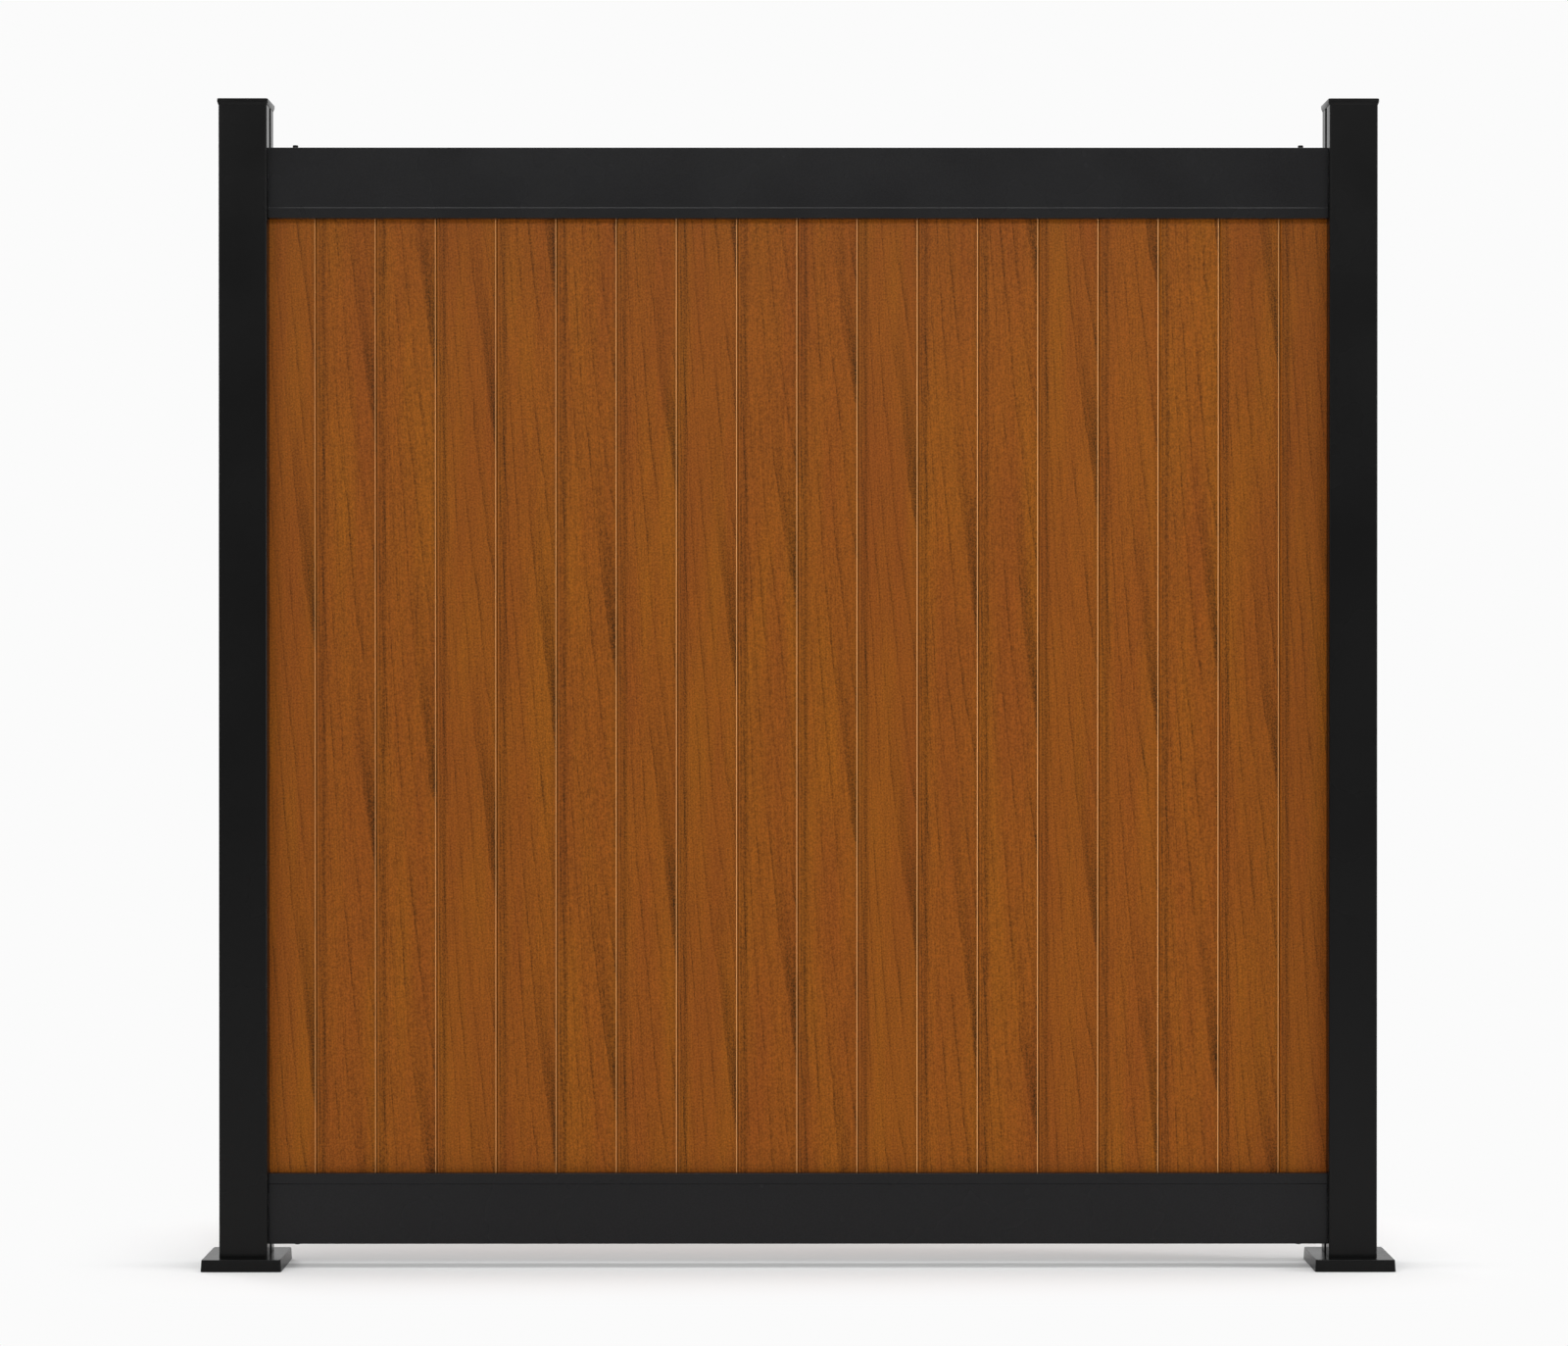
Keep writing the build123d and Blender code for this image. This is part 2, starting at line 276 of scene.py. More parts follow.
def add(tree, kind, inputs=None, **settings):
    """Adds one node with its settings; an input is a value, a socket, or a node's first live output.

    Inputs go by name or number. Inputs 1 and 2 of a Map Range are the range that it reads, and 3 and 4
    the range that it gives.
    """
    made = tree.nodes.new(kind)
    for name, value in settings.items():
        setattr(made, name, value)
    for name, value in (inputs or {}).items():
        if isinstance(value, Node):
            value = next(socket for socket in value.outputs if socket.enabled)
        if isinstance(value, NodeSocket):
            tree.links.new(value, made.inputs[name])
        else:
            made.inputs[name].default_value = value
    return made


def new_material(name):
    """An empty node material and its tree."""
    made = bpy.data.materials.new(name)
    made.use_nodes = True
    made.node_tree.nodes.clear()
    return made, made.node_tree


def powder_coat(name, base):
    """Black polyester powder, sprayed on aluminium and baked.

    It flows out to a satin film with a fine pebble about 0.8 mm across, drawn here at 2.2 mm so that
    it shows in the render, and its gloss changes slowly where the film is thicker.
    """
    made, tree = new_material(name)
    pebble_size, film_size = 0.0022, 0.16
    place = add(tree, "ShaderNodeTexCoord").outputs["Object"]
    pebble = add(tree, "ShaderNodeTexNoise", {"Vector": place, "Scale": 1 / pebble_size, "Detail": 2.0})
    film = add(tree, "ShaderNodeTexNoise", {"Vector": place, "Scale": 1 / film_size, "Detail": 3.0})
    rough = add(tree, "ShaderNodeMapRange", {0: film, 1: NOISE_LOW, 2: NOISE_HIGH, 3: 0.22, 4: 0.30})
    tone = add(tree, "ShaderNodeMapRange", {0: pebble, 1: NOISE_LOW, 2: NOISE_HIGH, 3: 0.8, 4: 1.2})
    shade = add(tree, "ShaderNodeVectorMath", {0: base[:3], 1: tone}, operation="MULTIPLY")
    bump = add(tree, "ShaderNodeBump", {"Height": pebble, "Strength": 0.08, "Distance": 0.0003})
    surface = add(tree, "ShaderNodeBsdfPrincipled", {
        "Base Color": shade, "Roughness": rough, "Normal": bump, "Specular IOR Level": 0.13})
    add(tree, "ShaderNodeOutputMaterial", {"Surface": surface})
    return made


def print_noises(tree, grain):
    """The print's noises by name, each with its width and height in metres, stretched along the board.

    The board's number moves them on in the third direction, so that no two boards show the same noise.
    """
    board_step = 1.7
    noise = {}
    for name, wide, tall, detail in (
        ("wander", 0.060, 0.300, 1.0),
        ("shake", 0.012, 0.040, 1.0),
        ("tone", 0.050, 0.450, 3.0),
        ("fibre", 0.0022, 0.080, 2.0),
        ("speck", 0.0024, 0.0028, 1.0),
        ("fade", 0.030, 0.160, 2.0),
    ):
        scaled = add(tree, "ShaderNodeVectorMath", {0: grain, 1: (1 / wide, 1 / tall, board_step)},
                     operation="MULTIPLY")
        noise[name] = add(tree, "ShaderNodeTexNoise", {"Vector": scaled, "Scale": 1.0, "Detail": detail})
    return noise


def line_numbers(tree, finish, face, across, along, noise):
    """Which growth line a point is at: it counts up to the right and upwards, and wavers with the noise.

    A line leans by lean(x), linear from one side to the other, so the count is the integral of
    rate / lean(x), a logarithm of the distance across, plus rate times the height.
    """
    lean_left, lean_right = 0.035, 0.15
    mark_across = 0.082
    wobble, tremble = 0.7, 0.18
    rate = finish.lines_in_repeat / finish.print_repeat
    bend = (lean_right - lean_left) / (lean_left * face)
    spread = rate * face / (lean_right - lean_left)
    # With the noises at their mean, line 0 passes the dark mark at height 0
    start = -spread * math.log(1 + bend * mark_across) - (wobble + tremble) / 2
    bent = add(tree, "ShaderNodeMath", {0: across, 1: bend, 2: 1.0}, operation="MULTIPLY_ADD")
    curved = add(tree, "ShaderNodeMath", {0: bent, 1: math.e}, operation="LOGARITHM")
    curved = add(tree, "ShaderNodeMath", {0: curved, 1: spread, 2: start}, operation="MULTIPLY_ADD")
    leaned = add(tree, "ShaderNodeMath", {0: along, 1: rate, 2: curved}, operation="MULTIPLY_ADD")
    lines = add(tree, "ShaderNodeMath", {0: noise["wander"], 1: wobble, 2: leaned}, operation="MULTIPLY_ADD")
    return add(tree, "ShaderNodeMath", {0: noise["shake"], 1: tremble, 2: lines}, operation="MULTIPLY_ADD")


def print_darkness(tree, finish, across, lines, noise):
    """How dark the print is: 0 is its own brown, 1 is the growth lines' brown, and below 0 is lighter."""
    number = add(tree, "ShaderNodeMath", {0: lines}, operation="FLOOR")
    turn = add(tree, "ShaderNodeMath", {0: number, 1: finish.lines_in_repeat}, operation="FLOORED_MODULO")
    marked = add(tree, "ShaderNodeMath", {0: turn, 1: 0.0, 2: 0.5}, operation="COMPARE")
    part = add(tree, "ShaderNodeMath", {0: lines}, operation="FRACT")

    # A growth line rises fast at its left and fades slowly to its right, and it is faint in places
    line_peak, line_end = 0.04, 0.27
    line_faint, line_dark = 0.06, 0.44
    rise = add(tree, "ShaderNodeMapRange", {0: part, 1: 0.0, 2: line_peak, 3: 0.0, 4: 1.0},
               interpolation_type="SMOOTHSTEP")
    fall = add(tree, "ShaderNodeMapRange", {0: part, 1: line_peak, 2: line_end, 3: 1.0, 4: 0.0},
               interpolation_type="SMOOTHSTEP")
    line = add(tree, "ShaderNodeMath", {0: rise, 1: fall}, operation="MULTIPLY")
    fade = add(tree, "ShaderNodeMapRange", {0: noise["fade"], 1: 0.33, 2: 0.65, 3: line_faint,
                                            4: line_dark})
    line = add(tree, "ShaderNodeMath", {0: line, 1: fade}, operation="MULTIPLY")

    # The dark mark fills the space to the right of its line, more towards the tongue side
    mark_peak, mark_falls, mark_end = 0.12, 0.2, 0.95
    mark_left, mark_right, mark_dark = 0.046, 0.090, 0.50
    slow_rise = add(tree, "ShaderNodeMapRange", {0: part, 1: 0.0, 2: mark_peak, 3: 0.0, 4: 1.0},
                    interpolation_type="SMOOTHSTEP")
    long_fall = add(tree, "ShaderNodeMapRange", {0: part, 1: mark_falls, 2: mark_end, 3: 1.0, 4: 0.0},
                    interpolation_type="SMOOTHSTEP")
    mark = add(tree, "ShaderNodeMath", {0: slow_rise, 1: long_fall}, operation="MULTIPLY")
    mark = add(tree, "ShaderNodeMath", {0: mark, 1: marked}, operation="MULTIPLY")
    near_edge = add(tree, "ShaderNodeMapRange", {0: across, 1: mark_left, 2: mark_right, 3: 0.0,
                                                 4: mark_dark},
                    interpolation_type="SMOOTHSTEP")
    mark = add(tree, "ShaderNodeMath", {0: mark, 1: near_edge}, operation="MULTIPLY")
    dark = add(tree, "ShaderNodeMath", {0: line, 1: mark}, operation="MAXIMUM")

    # Three faint lines between each pair of growth lines
    finer_steps, finer_end, finer_dark = 4.0, 0.4, 0.16
    finer = add(tree, "ShaderNodeMath", {0: lines, 1: finer_steps}, operation="MULTIPLY")
    finer = add(tree, "ShaderNodeMath", {0: finer}, operation="FRACT")
    finer = add(tree, "ShaderNodeMapRange", {0: finer, 1: 0.0, 2: finer_end, 3: finer_dark, 4: 0.0},
                interpolation_type="SMOOTHSTEP")
    dark = add(tree, "ShaderNodeMath", {0: dark, 1: finer}, operation="ADD")

    # Two upright bands beside the groove and one beside the tongue: middle, half width and darkness
    for middle, reach, depth in ((0.0045, 0.0025, 0.34), (0.0110, 0.0060, 0.38), (0.0890, 0.0060, 0.16)):
        band = add(tree, "ShaderNodeMath", {0: across, 1: middle}, operation="SUBTRACT")
        band = add(tree, "ShaderNodeMath", {0: band}, operation="ABSOLUTE")
        band = add(tree, "ShaderNodeMapRange", {0: band, 1: 0.0, 2: reach, 3: depth, 4: 0.0},
                   interpolation_type="SMOOTHSTEP")
        dark = add(tree, "ShaderNodeMath", {0: dark, 1: band}, operation="ADD")

    # Fibre and speckle darken and lighten by the same amount
    for name, depth in (("fibre", 0.14), ("speck", 0.34)):
        grit = add(tree, "ShaderNodeMapRange", {0: noise[name], 1: NOISE_LOW, 2: NOISE_HIGH, 3: -depth,
                                                4: depth})
        dark = add(tree, "ShaderNodeMath", {0: dark, 1: grit}, operation="ADD")
    return dark


def wood_grain_film(finish, face):
    """Wood-grain film, printed, then transferred by heat into a powder coat on aluminium.

    It looks satin and flat. Growth lines stand almost upright at the groove side and lean more and
    more towards the tongue side. One in each print repeat ends in a dark mark at the board's right
    edge. Upright bands run beside the groove and the tongue. Fibre and speckle are finer in the real
    print and are drawn 2 to 3 mm wide so that they show. The pale sand colour at the bevels is partly
    the base coat where the film ends and partly a painted highlight of the light on the bevels. The
    "grain" attribute holds the distance across the board, the height over its dark mark, and the
    board's number. The "bevel" attribute holds how much of that pale colour shows.
    """
    made, tree = new_material("heat_transferred_wood_grain_on_aluminium")
    grain = add(tree, "ShaderNodeAttribute", attribute_name="grain").outputs["Vector"]
    parts = add(tree, "ShaderNodeSeparateXYZ", {"Vector": grain})
    across, along = parts.outputs["X"], parts.outputs["Y"]
    noise = print_noises(tree, grain)
    lines = line_numbers(tree, finish, face, across, along, noise)
    dark = print_darkness(tree, finish, across, lines, noise)
    tone = add(tree, "ShaderNodeValToRGB", {"Fac": noise["tone"]})
    tone.color_ramp.elements[0].position = 0.32
    tone.color_ramp.elements[0].color = finish.grain_red
    tone.color_ramp.elements[1].position = 0.68
    tone.color_ramp.elements[1].color = finish.grain_light
    tone.color_ramp.elements.new(0.5).color = finish.grain_base
    wood = add(tree, "ShaderNodeMix", {6: tone, 7: finish.grain_line, 0: dark}, data_type="RGBA",
               clamp_factor=False)
    # The bevels' pale colour is partly the base coat and partly a painted highlight
    bevel = add(tree, "ShaderNodeAttribute", attribute_name="bevel").outputs["Fac"]
    film = add(tree, "ShaderNodeMix", {6: wood, 7: finish.base_coat_and_highlight, 0: bevel}, data_type="RGBA")
    rough = add(tree, "ShaderNodeMapRange", {0: noise["fibre"], 1: NOISE_LOW, 2: NOISE_HIGH, 3: 0.38,
                                             4: 0.50})
    bump = add(tree, "ShaderNodeBump", {"Height": noise["speck"], "Strength": 0.08, "Distance": 0.0002})
    surface = add(tree, "ShaderNodeBsdfPrincipled", {
        "Base Color": film, "Roughness": rough, "Normal": bump, "Specular IOR Level": 0.10})
    add(tree, "ShaderNodeOutputMaterial", {"Surface": surface})
    return made


def bare_metal(name, base, roughness, mark_size):
    """Unpainted metal: die lines, or a fine even grain, change its gloss and tone a little.

    mark_size is the size of one mark along X, Y and Z in metres.
    """
    made, tree = new_material(name)
    gloss_change = 0.08
    place = add(tree, "ShaderNodeTexCoord").outputs["Object"]
    scaled = add(tree, "ShaderNodeMapping", {"Vector": place, "Scale": tuple(1 / s for s in mark_size)})
    marks = add(tree, "ShaderNodeTexNoise", {"Vector": scaled, "Scale": 1.0, "Detail": 3.0})
    rough = add(tree, "ShaderNodeMapRange", {0: marks, 1: NOISE_LOW, 2: NOISE_HIGH,
                                             3: roughness - gloss_change, 4: roughness + gloss_change})
    tone = add(tree, "ShaderNodeMapRange", {0: marks, 1: NOISE_LOW, 2: NOISE_HIGH, 3: 0.9, 4: 1.05})
    shade = add(tree, "ShaderNodeVectorMath", {0: base[:3], 1: tone}, operation="MULTIPLY")
    bump = add(tree, "ShaderNodeBump", {"Height": marks, "Strength": 0.1, "Distance": 0.0001})
    surface = add(tree, "ShaderNodeBsdfPrincipled", {
        "Base Color": shade, "Roughness": rough, "Normal": bump, "Metallic": 1.0})
    add(tree, "ShaderNodeOutputMaterial", {"Surface": surface})
    return made


def post_coat(finish):
    """The powder coat shared by posts, caps and covers, made the first time it is asked for."""
    name = "powder_coated_aluminium_black"
    return bpy.data.materials.get(name) or powder_coat(name, finish.post_black)


def hand_over(made, paint, slot, *nodes):
    """Gives a finished piece its material, its body and the CAD nodes that it stands for."""
    made.data.materials.append(paint)
    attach(made, "root")
    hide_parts(*nodes)


class FENCE_OT_boards(Operator):
    """Makes the tongue-and-groove boards"""

    bl_idname = "fence.make_boards"
    bl_label = "Boards"

    def execute(self, context):
        sizes = context.scene.fence_sizes
        finish = context.scene.fence_finish
        low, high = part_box(BOARD_NODES[0])
        paint = wood_grain_film(finish, high.x - low.x - sizes.board_tongue)
        # The print starts at a height of its own on each board
        marks = np.random.default_rng(finish.print_seed).random(len(BOARD_NODES)) * finish.print_repeat
        for number, (node, mark) in enumerate(zip(BOARD_NODES, marks)):
            # Painted light: the bevels are painted paler board by board to the right, and on the boards to
            # the left part of the pale colour goes to the groove side
            bare_and_lit = 1 - finish.left_highlight_cut * (1 - number / (len(BOARD_NODES) - 1))
            self.make_board(sizes, paint, number, node, mark, bare_and_lit, finish.groove_highlight_share * (1 - bare_and_lit))
        return {"FINISHED"}

    def make_board(self, sizes, paint, number, node, mark, tongue_bare_and_lit, groove_bare_and_lit):
        """One board: its section from the groove round to the tongue, carried up from foot to head.

        The last two arguments say how much base coat and painted highlight show on the bevels at the tongue
        and the groove.
        """
        low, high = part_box(node)
        width = high.x - low.x - sizes.board_tongue
        half = (high.y - low.y) / 2
        tongue = sizes.tongue_thickness / 2
        groove = sizes.groove_width / 2
        deep = sizes.groove_depth
        bevel = sizes.board_bevel
        tip = width + sizes.board_tongue
        lower = [(0, -groove), (0, bevel - half), (bevel, -half), (width - bevel, -half),
                 (width, bevel - half), (width, -tongue), (tip, -tongue)]
        upper = [(x, -y) for x, y in reversed(lower)]
        corners = lower + upper + [(deep, groove), (deep, -groove)]
        radii = np.full(len(corners), sizes.board_soft_edge)
        outline, normals = rounded_outline(corners, radii, sizes.arc_steps)
        made = carried_profile("wood_grain_" + node, outline, normals, (low.x, 0, low.z),
                               (low.x, 0, high.z), (1, 0, 0), (0, 1, 0))
        x = np.tile(outline[:, 0], 2)
        z = np.repeat((low.z, high.z), len(outline))
        grain = np.stack((x, z - mark, np.full_like(x, number)), axis=1)
        # The pale colour, partly base coat and partly painted highlight, is strongest where the face ends
        # and fades out again at the foot of the bevel
        past_right = x - (width - bevel)
        past_left = bevel - x
        begin = -sizes.board_soft_edge / 4
        tongue_coat_and_highlight = np.clip(1 - past_right / bevel, 0, 1) * (past_right > begin) * tongue_bare_and_lit
        groove_coat_and_highlight = np.clip(1 - past_left / bevel, 0, 1) * (past_left > begin) * groove_bare_and_lit
        grain_layer = made.data.attributes.new("grain", "FLOAT_VECTOR", "POINT")
        grain_layer.data.foreach_set("vector", grain.ravel())
        bevel_coat_and_highlight_layer = made.data.attributes.new("bevel", "FLOAT", "POINT")
        bevel_coat_and_highlight_layer.data.foreach_set("value", np.maximum(tongue_coat_and_highlight, groove_coat_and_highlight))
        hand_over(made, paint, "wood_grain_coat", node)


class FENCE_OT_posts(Operator):
    """Makes the slotted posts"""

    bl_idname = "fence.make_posts"
    bl_label = "Posts"

    def execute(self, context):
        sizes = context.scene.fence_sizes
        paint = post_coat(context.scene.fence_finish)
        for side in SIDES:
            low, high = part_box(side + "_post")
            half = (high.x - low.x) / 2
            mouth = sizes.channel_width / 2
            inward = 1 if side == "left" else -1
            corners = [(half, -half), (half, -mouth), (half - sizes.slot_depth, -mouth),
                       (half - sizes.slot_depth, mouth), (half, mouth), (half, half),
                       (-half, half), (-half, -half)]
            edge, corner = sizes.channel_edge, sizes.post_corner
            radii = (corner, edge, edge, edge, edge, corner, corner, corner)
            outline, normals = rounded_outline(corners, radii, sizes.arc_steps)
            centre = ((low.x + high.x) / 2, (low.y + high.y) / 2)
            made = carried_profile("coated_" + side + "_post", outline, normals, (*centre, low.z),
                                   (*centre, high.z), (inward, 0, 0), (0, inward, 0))
            hand_over(made, paint, "black_powder_coat", side + "_post")
        return {"FINISHED"}


class FENCE_OT_rails(Operator):
    """Makes the pocket rails"""

    bl_idname = "fence.make_rails"
    bl_label = "Rails"

    def execute(self, context):
        sizes = context.scene.fence_sizes
        paint = powder_coat("powder_coated_aluminium_rail_black", context.scene.fence_finish.rail_black)
        for node, up in (("bottom_rail", 1), ("top_rail", -1)):
            low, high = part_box(node)
            lip = (high.y - low.y) / 2
            body = lip - sizes.lip_proud
            tall = high.z - low.z
            mouth = sizes.channel_width / 2
            shoulder = tall - sizes.lip_height
            right = [(body, 0), (body, shoulder), (lip, shoulder + sizes.lip_proud), (lip, tall),
                     (mouth, tall), (mouth, tall - sizes.pocket_depth)]
            corners = right + [(-x, y) for x, y in reversed(right)]
            soft, edge = sizes.lip_soft_edge, sizes.channel_edge
            one_side = [sizes.rail_corner, soft, soft, sizes.lip_edge, edge, edge]
            outline, normals = rounded_outline(corners, one_side + one_side[::-1], sizes.arc_steps)
            foot = low.z if up == 1 else high.z
            made = carried_profile("coated_" + node, outline, normals, (low.x, 0, foot), (high.x, 0, foot),
                                   (0, up, 0), (0, 0, up))
            hand_over(made, paint, "black_powder_coat", node)
        return {"FINISHED"}


class FENCE_OT_caps(Operator):
    """Makes the flared post caps"""

    bl_idname = "fence.make_caps"
    bl_label = "Post caps"

    def execute(self, context):
        sizes = context.scene.fence_sizes
        paint = post_coat(context.scene.fence_finish)
        for side in SIDES:
            low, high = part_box(side + "_post_cap")
            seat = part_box(side + "_post")[1].z
            brim = (high.x - low.x) / 2
            foot = brim - sizes.cap_foot
            border = high.z - seat - sizes.cap_crown
            edge, soft = sizes.cap_edge, sizes.cap_soft_edge
            flank = (border - edge) * np.linspace(0.05, 1, 8)
            lean = np.clip(flank / sizes.cap_flare, 0, 1)
            # Shares of the crown's slope, closer together at its two ends
            slope = np.array((0.0, 0.03, 0.5, 0.97, 1.0))
            crown_foot = brim - sizes.cap_ledge
            crown_top = crown_foot - sizes.cap_slope
            # From under the foot, up the side, over the brim and border to the crown. Rings this far inside
            # the brim, outside the crown's foot and inside its top keep the flats flat to the eye
            brim_ring, foot_ring, top_ring = 0.0004, 0.0003, 0.003
            half = np.concatenate((
                (foot - sizes.cap_rim, foot - soft, foot),
                foot + (brim - foot) * lean,
                brim - edge + edge * np.cos(QUARTER_TURN),
                (brim - edge - brim_ring, crown_foot + foot_ring),
                crown_foot - sizes.cap_slope * slope,
                (crown_top - top_ring,),
            ))
            height = np.concatenate((
                (0.0, 0.0, soft),
                flank,
                border - edge + edge * np.sin(QUARTER_TURN),
                (border, border),
                border + sizes.cap_crown * slope,
                (border + sizes.cap_crown,),
            ))
            # The corners grow tighter towards the middle
            corner_fall, least_corner = 0.35, 0.0008
            radius = np.clip(sizes.cap_corner - (brim - half) * corner_fall, least_corner, None)
            centre = ((low.x + high.x) / 2, (low.y + high.y) / 2, seat)
            made = square_rings("coated_" + side + "_post_cap", centre, half, radius, height,
                                sizes.arc_steps, closed=False)
            hand_over(made, paint, "black_powder_coat", side + "_post_cap")
        return {"FINISHED"}


class FENCE_OT_covers(Operator):
    """Makes the base covers"""

    bl_idname = "fence.make_covers"
    bl_label = "Base covers"

    def execute(self, context):
        sizes = context.scene.fence_sizes
        paint = post_coat(context.scene.fence_finish)
        for side in SIDES:
            low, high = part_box(side + "_base_cover")
            post_low, post_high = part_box(side + "_post")
            outer = (high.x - low.x) / 2
            opening = (post_high.x - post_low.x) / 2 + sizes.cover_play
            top = high.z - low.z
            edge, wall = sizes.cover_edge, sizes.cover_wall
            lip, soft = sizes.cover_lip, sizes.cover_soft_edge
            shoulder = outer - sizes.cover_draft
            flank = np.linspace(0.1, 0.95, 3)
            # Up the outside, over the top, down the opening and back inside to the foot. Rings this far from
            # the two upper edges keep the top flat to the eye
            ring = 0.0006
            half = np.concatenate((
                (outer - soft, outer),
                outer + (shoulder - outer) * flank,
                shoulder - edge + edge * np.cos(QUARTER_TURN),
                (shoulder - edge - ring, opening + lip + ring),
                opening + lip - lip * np.sin(QUARTER_TURN),
                (opening, opening + soft, shoulder - wall - soft, shoulder - wall, outer - wall),
            ))
            height = np.concatenate((
                (0.0, soft),
                (top - edge) * flank,
                top - edge + edge * np.sin(QUARTER_TURN),
                (top, top),
                top - lip + lip * np.cos(QUARTER_TURN),
                (top - wall + soft, top - wall, top - wall, top - wall - soft, 0.0),
            ))
            halfway = (opening + shoulder) / 2
            radius = np.where(half > halfway, sizes.cover_corner, sizes.post_corner + sizes.cover_play)
            centre = ((low.x + high.x) / 2, (low.y + high.y) / 2, low.z)
            made = square_rings("coated_" + side + "_base_cover", centre, half, radius, height,
                                sizes.arc_steps, closed=True)
            hand_over(made, paint, "black_powder_coat", side + "_base_cover")
        return {"FINISHED"}


class FENCE_OT_screws(Operator):
    """Makes the flanged hexagon screws of the rails"""

    bl_idname = "fence.make_rail_screws"
    bl_label = "Rail screws"

    def execute(self, context):
        sizes = context.scene.fence_sizes
        # Dull black with a soft gleam
        paint = bare_metal("black_oxide_steel", context.scene.fence_finish.black_steel, 0.38,
                           (0.0006, 0.0006, 0.0006))
        low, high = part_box("rail_screws")
        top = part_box("top_rail")[1].z
        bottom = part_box("bottom_rail")[0].z
        head = high.z - top
        flange = sizes.screw_flange_radius
        reach_y = high.y - flange
        points, faces = self.flanged_screw(sizes, head)
        all_points, all_faces = [], []
        for x in (low.x + flange, high.x - flange):
            upper = points + (x, -reach_y, top)
            under = points * (1, -1, -1) + (x, reach_y, bottom)
            for screw in (upper, under):
                all_faces.append(faces + len(points) * len(all_points))
                all_points.append(screw)
        made = finish_mesh("blackened_rail_screws", np.concatenate(all_points),
                           np.concatenate(all_faces).tolist())
        hand_over(made, paint, "black_steel", "rail_screws")
        return {"FINISHED"}

    def flanged_screw(self, sizes, head):
        """Screw about Z with its flange on Z = 0: radius and height follow a profile from the tip of
        the shank to the middle of the head, turned round the axis. Round the head the radius is
        divided by the cosine of the angle to the middle of the nearest flat, which makes a hexagon,
        and is held to a circle near the top, which bevels the hexagon's corners."""
        shank, deep = sizes.screw_shank, sizes.screw_reach
        flange, thick = sizes.screw_flange_radius, sizes.screw_flange
        flat = sizes.screw_head * math.cos(math.pi / 6)
        round_steps = 72
        near_axis, soft = 0.00002, 0.0002
        tip_taper, tip_length, neck, corner_bevel = 0.0012, 0.003, 0.004, 0.0010
        # Radius and height of each ring, and how far it is a hexagon
        r, z, six = np.array((
            (near_axis, -deep, 0),
            (shank - tip_taper, -deep, 0),
            (shank, tip_length - deep, 0),
            (shank, -neck, 0),
            (shank, 0, 0),
            (flange - soft, 0, 0),
            (flange, soft, 0),
            (flange, thick * 0.5, 0),
            (flange - 2 * soft, thick * 0.8, 0),
            (flat + soft / 2, thick, 0.9),
            (flat, thick + soft, 1),
            (flat, head - corner_bevel, 1),
            (flat, head - 2 * soft, 0.55),
            (flat - soft, head, 0),
            (flat * 0.5, head, 0),
            (near_axis, head, 0),
        )).T
        angle = np.linspace(0, 2 * np.pi, round_steps, endpoint=False)
        to_flat = (angle + np.pi / 6) % (np.pi / 3) - np.pi / 6
        factor = 1 + six[:, None] * (1 / np.cos(to_flat) - 1)
        x = r[:, None] * factor * np.cos(angle)
        y = r[:, None] * factor * np.sin(angle)
        points = np.stack((x, y, np.broadcast_to(z[:, None], x.shape)), axis=2).reshape(-1, 3)
        grid = np.arange(x.size).reshape(x.shape)
        lower, upper = grid[:-1], grid[1:]
        faces = np.stack((lower, np.roll(lower, -1, 1), np.roll(upper, -1, 1), upper), axis=2)
        return points, faces.reshape(-1, 4)


class FENCE_OT_inner_parts(Operator):
    """Finishes the base plates, brackets and bracket screws that come from the frame"""

    bl_idname = "fence.finish_inner_parts"
    bl_label = "Plates and brackets"

    def execute(self, context):
        finish = context.scene.fence_finish
        # Pale grey with die lines, and a shinier steel with a fine even grain
        mill = bare_metal("extruded_mill_finish_aluminium", finish.mill_metal, 0.42, (0.0015, 0.08, 0.0015))
        steel = bare_metal("cold_formed_stainless_steel", finish.bright_steel, 0.32,
                           (0.0008, 0.0008, 0.0008))
        for name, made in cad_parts.items():
            if name.endswith(("_plate", "_bracket", "bracket_screws")):
                made.data.materials.clear()
                made.data.materials.append(steel if name == "bracket_screws" else mill)
        return {"FINISHED"}


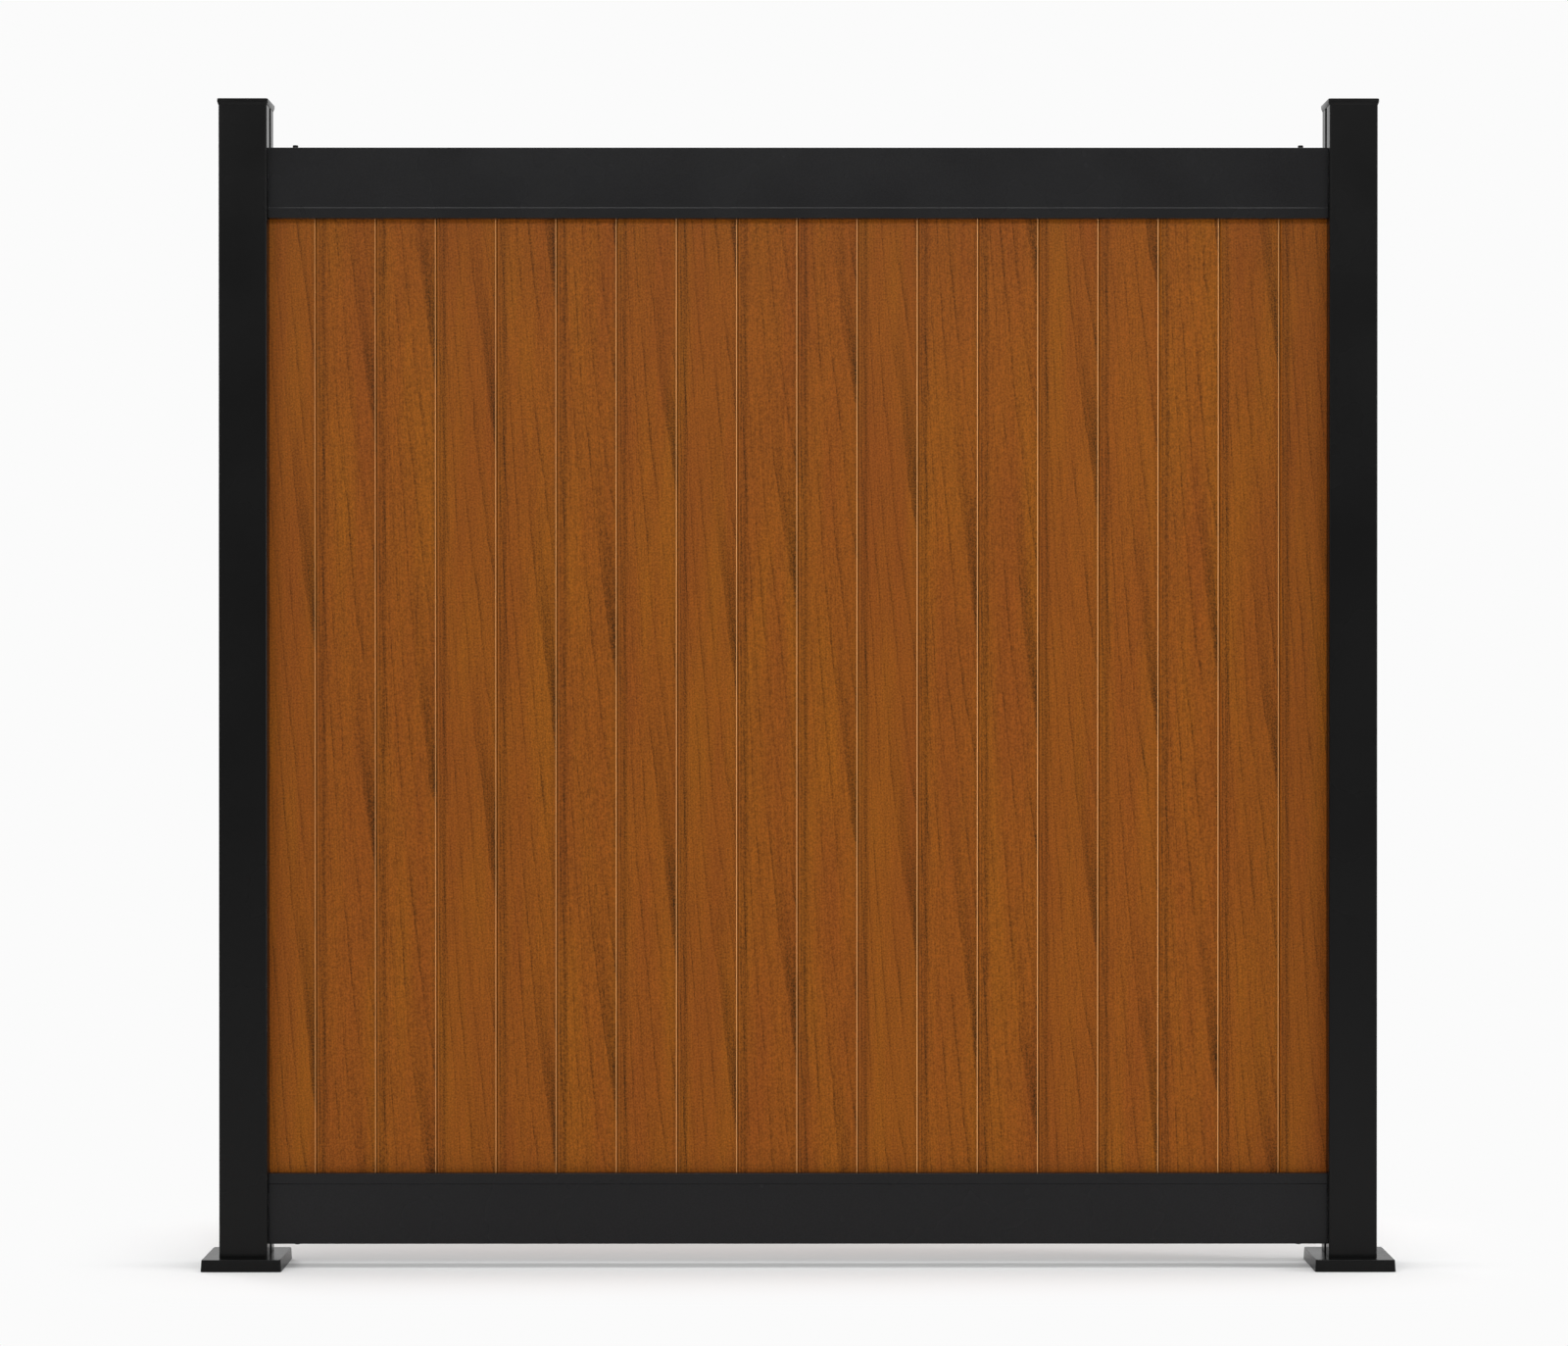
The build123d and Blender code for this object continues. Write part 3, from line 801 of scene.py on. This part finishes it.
class FENCE_OT_stage(Operator):
    """Sets the floor, the light and the camera"""

    bl_idname = "fence.set_stage"
    bl_label = "Stage"

    def execute(self, context):
        stage = context.scene.fence_stage
        self.floor(stage)
        self.world(context.scene, stage)
        # Name, place, target, size and power. Those in front stand outside what the camera sees mirrored in
        # the panel's front
        self.softbox("right_softbox", (2.8, -3.8, 2.4), (0.1, 0.0, 0.8), (1.8, 2.4), stage.key_power)
        self.softbox("left_softbox", (-3.0, -3.8, 2.4), (-0.1, 0.0, 0.8), (1.8, 2.4), stage.fill_power)
        self.softbox("front_softbox", (0.0, -7.0, 4.6), (0.0, 0.0, 0.9), (3.0, 1.0), stage.front_power)
        self.softbox("top_softbox", (0.0, -0.05, 4.2), (0.0, -0.05, 0.0), (4.0, 1.0), stage.top_power)
        self.softbox("side_strip", (4.4, -0.7, 1.0), (0.0, 0.0, 0.9), (0.5, 2.2), stage.side_power)
        self.softbox("back_softbox", (-3.6, 4.0, 2.6), (0.0, 0.0, 0.8), (1.8, 2.4), stage.back_power)
        self.camera(context.scene, stage)
        context.scene.view_settings.view_transform = "Standard"
        return {"FINISHED"}

    def floor(self, stage):
        """Flat square floor just under the feet: plain white far away, with the object's shadow near."""
        made, tree = new_material("painted_studio_floor")
        # The shadow shows in a zone under and behind the panel, and fades out round it
        zone_middle, zone_reach, zone_fade = (0.0, 0.15, 0.0), (0.85, 0.15, 0.0), 0.35
        drop = 0.0004
        place = add(tree, "ShaderNodeTexCoord").outputs["Object"]
        spread = add(tree, "ShaderNodeVectorMath", {0: place, 1: zone_middle}, operation="SUBTRACT")
        spread = add(tree, "ShaderNodeVectorMath", {0: spread}, operation="ABSOLUTE")
        outside = add(tree, "ShaderNodeVectorMath", {0: spread, 1: zone_reach}, operation="SUBTRACT")
        outside = add(tree, "ShaderNodeVectorMath", {0: outside, 1: (0.0, 0.0, 0.0)}, operation="MAXIMUM")
        away = add(tree, "ShaderNodeVectorMath", {0: outside}, operation="LENGTH").outputs["Value"]
        far = add(tree, "ShaderNodeMapRange", {0: away, 1: 0.0, 2: zone_fade, 3: 0.0, 4: 1.0},
                  interpolation_type="SMOOTHSTEP")
        path = add(tree, "ShaderNodeLightPath").outputs
        seen = add(tree, "ShaderNodeMath", {0: path["Is Camera Ray"], 1: path["Is Transmission Ray"]},
                   operation="MAXIMUM")
        glow = add(tree, "ShaderNodeMath", {0: far, 1: seen}, operation="MULTIPLY")
        paint = add(tree, "ShaderNodeBsdfDiffuse", {"Color": stage.floor_colour})
        white = add(tree, "ShaderNodeEmission", {"Color": stage.backdrop, "Strength": 1.0})
        mixed = add(tree, "ShaderNodeMixShader", {0: glow, 1: paint, 2: white})
        add(tree, "ShaderNodeOutputMaterial", {"Surface": mixed})
        half = stage.floor_size / 2
        corners = np.array(((-half, -half, 0), (half, -half, 0), (half, half, 0), (-half, half, 0)))
        plane = finish_mesh("studio_floor", corners - (0, 0, drop), [[0, 1, 2, 3]])
        plane.data.materials.append(made)

    def world(self, scene, stage):
        """Even light all round, seen as plain white. Reflections see white behind the panel and a
        dimmer studio in front of it."""
        made = bpy.data.worlds.new("white_studio")
        made.use_nodes = True
        tree = made.node_tree
        tree.nodes.clear()
        path = add(tree, "ShaderNodeLightPath").outputs
        seen = add(tree, "ShaderNodeMath", {0: path["Is Camera Ray"], 1: path["Is Transmission Ray"]},
                   operation="MAXIMUM")
        plain = add(tree, "ShaderNodeMapRange", {0: seen, 1: 0.0, 2: 1.0, 3: stage.ambient, 4: 1.0})
        # A direction's Y below dim_end points into the dim front, and above white_end to the white back
        dim_end, white_end = -0.3, 0.1
        way = add(tree, "ShaderNodeTexCoord").outputs["Generated"]
        depth = add(tree, "ShaderNodeSeparateXYZ", {"Vector": way}).outputs["Y"]
        mirrored = add(tree, "ShaderNodeMapRange", {
            0: depth, 1: dim_end, 2: white_end, 3: stage.dim_side - stage.ambient, 4: 1.0 - stage.ambient})
        strength = add(tree, "ShaderNodeMath", {0: path["Is Glossy Ray"], 1: mirrored, 2: plain},
                       operation="MULTIPLY_ADD")
        back = add(tree, "ShaderNodeBackground", {"Color": stage.backdrop, "Strength": strength})
        add(tree, "ShaderNodeOutputWorld", {"Surface": back})
        scene.world = made

    def softbox(self, name, place, target, size, power):
        """Rectangular area lamp at place, turned to face target."""
        lamp = bpy.data.lights.new(name, "AREA")
        lamp.shape = "RECTANGLE"
        lamp.size, lamp.size_y = size
        lamp.energy = power
        made = bpy.data.objects.new(name, lamp)
        made.location = place
        made.rotation_euler = (Vector(target) - Vector(place)).to_track_quat("-Z", "Y").to_euler()
        bpy.context.scene.collection.objects.link(made)

    def camera(self, scene, stage):
        """Camera in front of the panel, upright, nearly square to it."""
        lens = bpy.data.cameras.new("studio_camera")
        lens.lens = stage.camera_lens
        lens.clip_end = 200.0
        made = bpy.data.objects.new("studio_camera", lens)
        made.location = stage.camera_place
        made.rotation_euler = (math.pi / 2 - stage.camera_pitch, 0.0, -stage.camera_yaw)
        scene.collection.objects.link(made)
        scene.camera = made


class FENCE_PT_panel(Panel):
    """Lists the makers and their settings"""

    bl_idname = "FENCE_PT_panel"
    bl_label = "Fence panel"
    bl_space_type = "VIEW_3D"
    bl_region_type = "UI"
    bl_category = "Fence"

    def draw(self, context):
        for operator in OPERATORS:
            self.layout.operator(operator.bl_idname)
        for group in (context.scene.fence_sizes, context.scene.fence_finish, context.scene.fence_stage):
            column = self.layout.column()
            for name in group.__annotations__:
                column.prop(group, name)


GROUPS = (FENCE_PG_sizes, FENCE_PG_finish, FENCE_PG_stage)
OPERATORS = (FENCE_OT_boards, FENCE_OT_posts, FENCE_OT_rails, FENCE_OT_caps, FENCE_OT_covers,
             FENCE_OT_screws, FENCE_OT_inner_parts, FENCE_OT_stage)
CLASSES = GROUPS + OPERATORS + (FENCE_PT_panel,)


def register():
    """Makes the classes known and adds the settings to the scene."""
    for made in CLASSES:
        bpy.utils.register_class(made)
    bpy.types.Scene.fence_sizes = PointerProperty(type=FENCE_PG_sizes)
    bpy.types.Scene.fence_finish = PointerProperty(type=FENCE_PG_finish)
    bpy.types.Scene.fence_stage = PointerProperty(type=FENCE_PG_stage)


def unregister():
    """Takes the settings and the classes away again."""
    del bpy.types.Scene.fence_sizes, bpy.types.Scene.fence_finish, bpy.types.Scene.fence_stage
    for made in reversed(CLASSES):
        bpy.utils.unregister_class(made)


def main():
    """Makes every piece and the stage."""
    register()
    bpy.ops.fence.make_boards()
    bpy.ops.fence.make_posts()
    bpy.ops.fence.make_rails()
    bpy.ops.fence.make_caps()
    bpy.ops.fence.make_covers()
    bpy.ops.fence.make_rail_screws()
    bpy.ops.fence.finish_inner_parts()
    bpy.ops.fence.set_stage()


if __name__ == "__main__":
    main()
